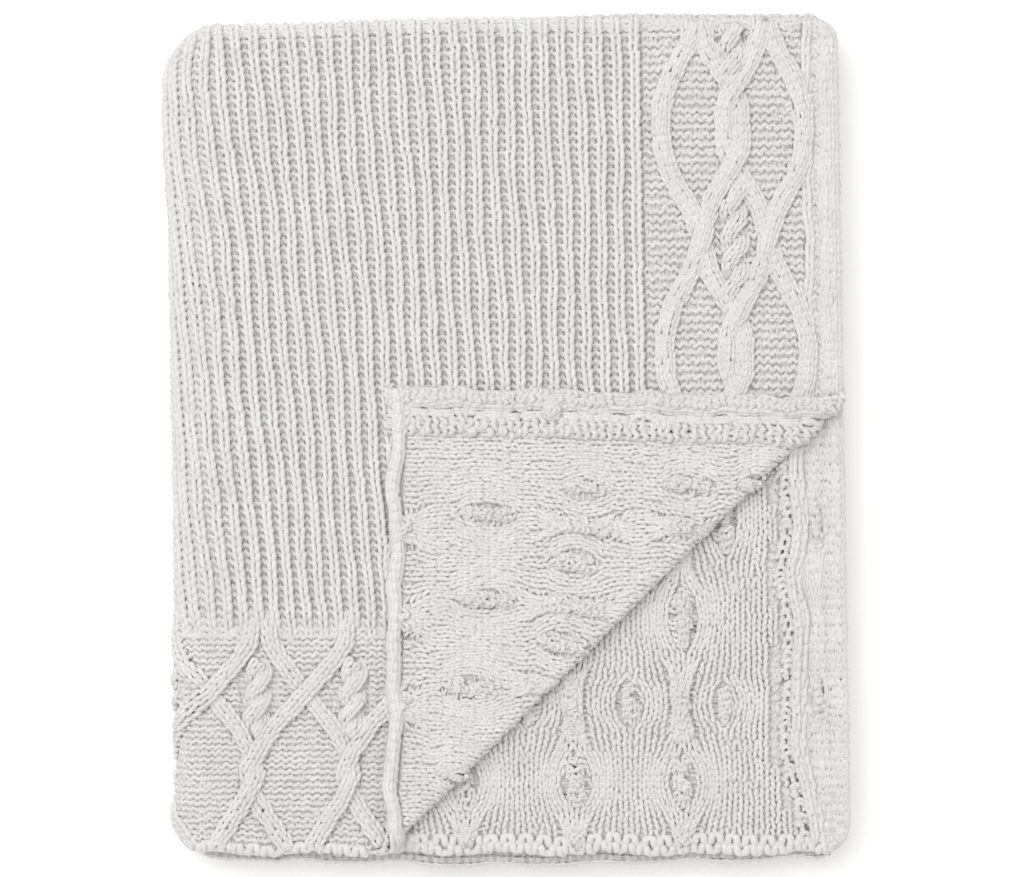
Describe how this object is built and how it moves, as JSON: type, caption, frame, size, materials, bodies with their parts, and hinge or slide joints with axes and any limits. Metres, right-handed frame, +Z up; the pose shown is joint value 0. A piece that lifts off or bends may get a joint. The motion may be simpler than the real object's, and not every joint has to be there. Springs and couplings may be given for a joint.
{
  "type": "folded cable-knit bed runner",
  "caption": "Thick knitted bed runner, ribbed with cable bands along its side and hem, folded into a flat stack with a corner turned back.",
  "frame": {"origin": "middle of the folded stack's underside, on the surface that it lies on", "axes": "+X to the stack's free side edge, where the corner is turned back; +Y to its far fold; +Z up"},
  "size_m": [0.4098, 0.5123, 0.0426],
  "materials": {
    "cotton_yarn": "matt undyed cotton knit"
  },
  "bodies": {
    "root": {"knit_runner": "cotton_yarn"}
  },
  "joints": []
}
